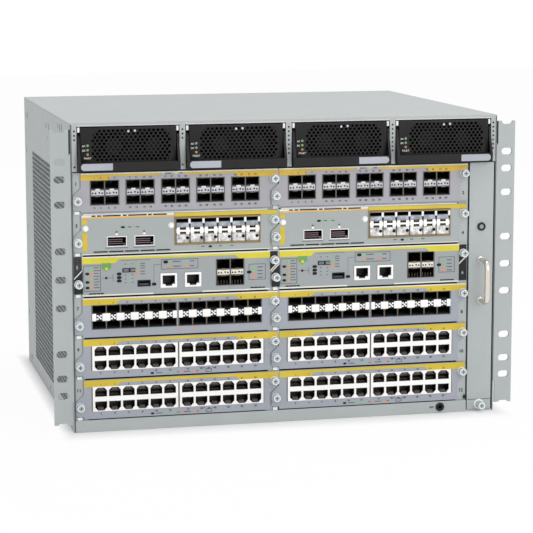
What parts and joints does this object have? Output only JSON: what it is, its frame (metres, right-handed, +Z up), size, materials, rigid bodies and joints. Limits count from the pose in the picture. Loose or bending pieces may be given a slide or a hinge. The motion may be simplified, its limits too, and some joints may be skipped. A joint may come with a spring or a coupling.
{
  "type": "modular chassis switch",
  "caption": "rack-mounted case with sliding network cards, plug-in power supplies with fans and a tall pull-out fan module",
  "frame": {"origin": "bottom centre of the whole object's box", "axes": "+X to the right of a person who faces the front, +Y to the rear, +Z up"},
  "size_m": [0.4826, 0.411, 0.311],
  "materials": {
    "case_grey": "fine satin paint",
    "bare_steel": "plain zinc-plated sheet",
    "plated_steel": "bright nickel",
    "face_grey": "satin paint with a printed yellow band",
    "board_green": "solder mask",
    "supply_black": "matt black paint",
    "handle_black": "satin moulding",
    "fan_black": "satin moulding",
    "handle_chrome": "polished plating",
    "lamp_black": "glossy bezel",
    "inlet_black": "satin moulding"
  },
  "bodies": {
    "chassis": {"base_pan": "case_grey", "side_wall_left": "case_grey", "side_wall_right": "case_grey", "top_cover": "case_grey", "rear_panel": "case_grey", "power_inlets": "inlet_black", "rack_ear_left": "case_grey", "rack_ear_right": "case_grey", "bay_shelf": "bare_steel", "bay_dividers": "case_grey", "card_cage": "case_grey", "backplane": "board_green", "ground_jack": "plated_steel"},
    "card_01": {"card_01_faceplate": "face_grey", "card_01_board": "board_green"},
    "card_02": {"card_02_faceplate": "face_grey", "card_02_board": "board_green"},
    "card_03": {"card_03_faceplate": "face_grey", "card_03_board": "board_green"},
    "card_04": {"card_04_faceplate": "face_grey", "card_04_board": "board_green"},
    "card_05": {"card_05_faceplate": "face_grey", "card_05_board": "board_green"},
    "card_06": {"card_06_faceplate": "face_grey", "card_06_board": "board_green"},
    "card_07": {"card_07_faceplate": "face_grey", "card_07_board": "board_green"},
    "card_08": {"card_08_faceplate": "face_grey", "card_08_board": "board_green"},
    "card_09": {"card_09_faceplate": "face_grey", "card_09_board": "board_green"},
    "card_10": {"card_10_faceplate": "face_grey", "card_10_board": "board_green"},
    "card_11": {"card_11_faceplate": "face_grey", "card_11_board": "board_green"},
    "card_12": {"card_12_faceplate": "face_grey", "card_12_board": "board_green"},
    "supply_1": {"supply_1_case": "supply_black"},
    "supply_1_handle": {"supply_1_handle": "handle_black"},
    "supply_1_fan_a": {"supply_1_fan_a": "fan_black"},
    "supply_1_fan_b": {"supply_1_fan_b": "fan_black"},
    "supply_2": {"supply_2_case": "supply_black"},
    "supply_2_handle": {"supply_2_handle": "handle_black"},
    "supply_2_fan_a": {"supply_2_fan_a": "fan_black"},
    "supply_2_fan_b": {"supply_2_fan_b": "fan_black"},
    "supply_3": {"supply_3_case": "supply_black"},
    "supply_3_handle": {"supply_3_handle": "handle_black"},
    "supply_3_fan_a": {"supply_3_fan_a": "fan_black"},
    "supply_3_fan_b": {"supply_3_fan_b": "fan_black"},
    "supply_4": {"supply_4_case": "supply_black"},
    "supply_4_handle": {"supply_4_handle": "handle_black"},
    "supply_4_fan_a": {"supply_4_fan_a": "fan_black"},
    "supply_4_fan_b": {"supply_4_fan_b": "fan_black"},
    "fan_module": {"fan_tray": "case_grey", "fan_handle": "handle_chrome", "power_lamp": "lamp_black"},
    "fan_rotor_1": {"fan_rotor_1": "fan_black"},
    "fan_rotor_2": {"fan_rotor_2": "fan_black"},
    "fan_rotor_3": {"fan_rotor_3": "fan_black"},
    "fan_rotor_4": {"fan_rotor_4": "fan_black"}
  },
  "joints": [
    {"name": "card_01_slide", "type": "slide", "parent": "chassis", "child": "card_01", "axis": [0, -1, 0], "range_m": [0, 0.33]},
    {"name": "card_02_slide", "type": "slide", "parent": "chassis", "child": "card_02", "axis": [0, -1, 0], "range_m": [0, 0.33]},
    {"name": "card_03_slide", "type": "slide", "parent": "chassis", "child": "card_03", "axis": [0, -1, 0], "range_m": [0, 0.33]},
    {"name": "card_04_slide", "type": "slide", "parent": "chassis", "child": "card_04", "axis": [0, -1, 0], "range_m": [0, 0.33]},
    {"name": "card_05_slide", "type": "slide", "parent": "chassis", "child": "card_05", "axis": [0, -1, 0], "range_m": [0, 0.33]},
    {"name": "card_06_slide", "type": "slide", "parent": "chassis", "child": "card_06", "axis": [0, -1, 0], "range_m": [0, 0.33]},
    {"name": "card_07_slide", "type": "slide", "parent": "chassis", "child": "card_07", "axis": [0, -1, 0], "range_m": [0, 0.33]},
    {"name": "card_08_slide", "type": "slide", "parent": "chassis", "child": "card_08", "axis": [0, -1, 0], "range_m": [0, 0.33]},
    {"name": "card_09_slide", "type": "slide", "parent": "chassis", "child": "card_09", "axis": [0, -1, 0], "range_m": [0, 0.33]},
    {"name": "card_10_slide", "type": "slide", "parent": "chassis", "child": "card_10", "axis": [0, -1, 0], "range_m": [0, 0.33]},
    {"name": "card_11_slide", "type": "slide", "parent": "chassis", "child": "card_11", "axis": [0, -1, 0], "range_m": [0, 0.33]},
    {"name": "card_12_slide", "type": "slide", "parent": "chassis", "child": "card_12", "axis": [0, -1, 0], "range_m": [0, 0.33]},
    {"name": "supply_1_slide", "type": "slide", "parent": "chassis", "child": "supply_1", "axis": [0, -1, 0], "range_m": [0, 0.33]},
    {"name": "supply_1_handle_hinge", "type": "hinge", "parent": "supply_1", "child": "supply_1_handle", "pos_m": [-0.1635, -0.1785, 0.2948], "axis": [-1, 0, 0], "range_deg": [0, 90]},
    {"name": "supply_1_fan_a_spin", "type": "hinge", "parent": "supply_1", "child": "supply_1_fan_a", "pos_m": [-0.1741, -0.1505, 0.285], "axis": [0, 1, 0], "continuous": true},
    {"name": "supply_1_fan_b_spin", "type": "hinge", "parent": "supply_1", "child": "supply_1_fan_b", "pos_m": [-0.1331, -0.1505, 0.285], "axis": [0, 1, 0], "continuous": true},
    {"name": "supply_2_slide", "type": "slide", "parent": "chassis", "child": "supply_2", "axis": [0, -1, 0], "range_m": [0, 0.33]},
    {"name": "supply_2_handle_hinge", "type": "hinge", "parent": "supply_2", "child": "supply_2_handle", "pos_m": [-0.0545, -0.1785, 0.2948], "axis": [-1, 0, 0], "range_deg": [0, 90]},
    {"name": "supply_2_fan_a_spin", "type": "hinge", "parent": "supply_2", "child": "supply_2_fan_a", "pos_m": [-0.0651, -0.1505, 0.285], "axis": [0, 1, 0], "continuous": true},
    {"name": "supply_2_fan_b_spin", "type": "hinge", "parent": "supply_2", "child": "supply_2_fan_b", "pos_m": [-0.0241, -0.1505, 0.285], "axis": [0, 1, 0], "continuous": true},
    {"name": "supply_3_slide", "type": "slide", "parent": "chassis", "child": "supply_3", "axis": [0, -1, 0], "range_m": [0, 0.33]},
    {"name": "supply_3_handle_hinge", "type": "hinge", "parent": "supply_3", "child": "supply_3_handle", "pos_m": [0.0545, -0.1785, 0.2948], "axis": [-1, 0, 0], "range_deg": [0, 90]},
    {"name": "supply_3_fan_a_spin", "type": "hinge", "parent": "supply_3", "child": "supply_3_fan_a", "pos_m": [0.0439, -0.1505, 0.285], "axis": [0, 1, 0], "continuous": true},
    {"name": "supply_3_fan_b_spin", "type": "hinge", "parent": "supply_3", "child": "supply_3_fan_b", "pos_m": [0.0849, -0.1505, 0.285], "axis": [0, 1, 0], "continuous": true},
    {"name": "supply_4_slide", "type": "slide", "parent": "chassis", "child": "supply_4", "axis": [0, -1, 0], "range_m": [0, 0.33]},
    {"name": "supply_4_handle_hinge", "type": "hinge", "parent": "supply_4", "child": "supply_4_handle", "pos_m": [0.1635, -0.1785, 0.2948], "axis": [-1, 0, 0], "range_deg": [0, 90]},
    {"name": "supply_4_fan_a_spin", "type": "hinge", "parent": "supply_4", "child": "supply_4_fan_a", "pos_m": [0.1529, -0.1505, 0.285], "axis": [0, 1, 0], "continuous": true},
    {"name": "supply_4_fan_b_spin", "type": "hinge", "parent": "supply_4", "child": "supply_4_fan_b", "pos_m": [0.1939, -0.1505, 0.285], "axis": [0, 1, 0], "continuous": true},
    {"name": "fan_module_slide", "type": "slide", "parent": "chassis", "child": "fan_module", "axis": [0, -1, 0], "range_m": [0, 0.33]},
    {"name": "fan_rotor_1_spin", "type": "hinge", "parent": "fan_module", "child": "fan_rotor_1", "pos_m": [0.2044, -0.0895, 0.0745], "axis": [1, 0, 0], "continuous": true},
    {"name": "fan_rotor_2_spin", "type": "hinge", "parent": "fan_module", "child": "fan_rotor_2", "pos_m": [0.2044, -0.0895, 0.1985], "axis": [1, 0, 0], "continuous": true},
    {"name": "fan_rotor_3_spin", "type": "hinge", "parent": "fan_module", "child": "fan_rotor_3", "pos_m": [0.2044, 0.0345, 0.0745], "axis": [1, 0, 0], "continuous": true},
    {"name": "fan_rotor_4_spin", "type": "hinge", "parent": "fan_module", "child": "fan_rotor_4", "pos_m": [0.2044, 0.0345, 0.1985], "axis": [1, 0, 0], "continuous": true}
  ]
}
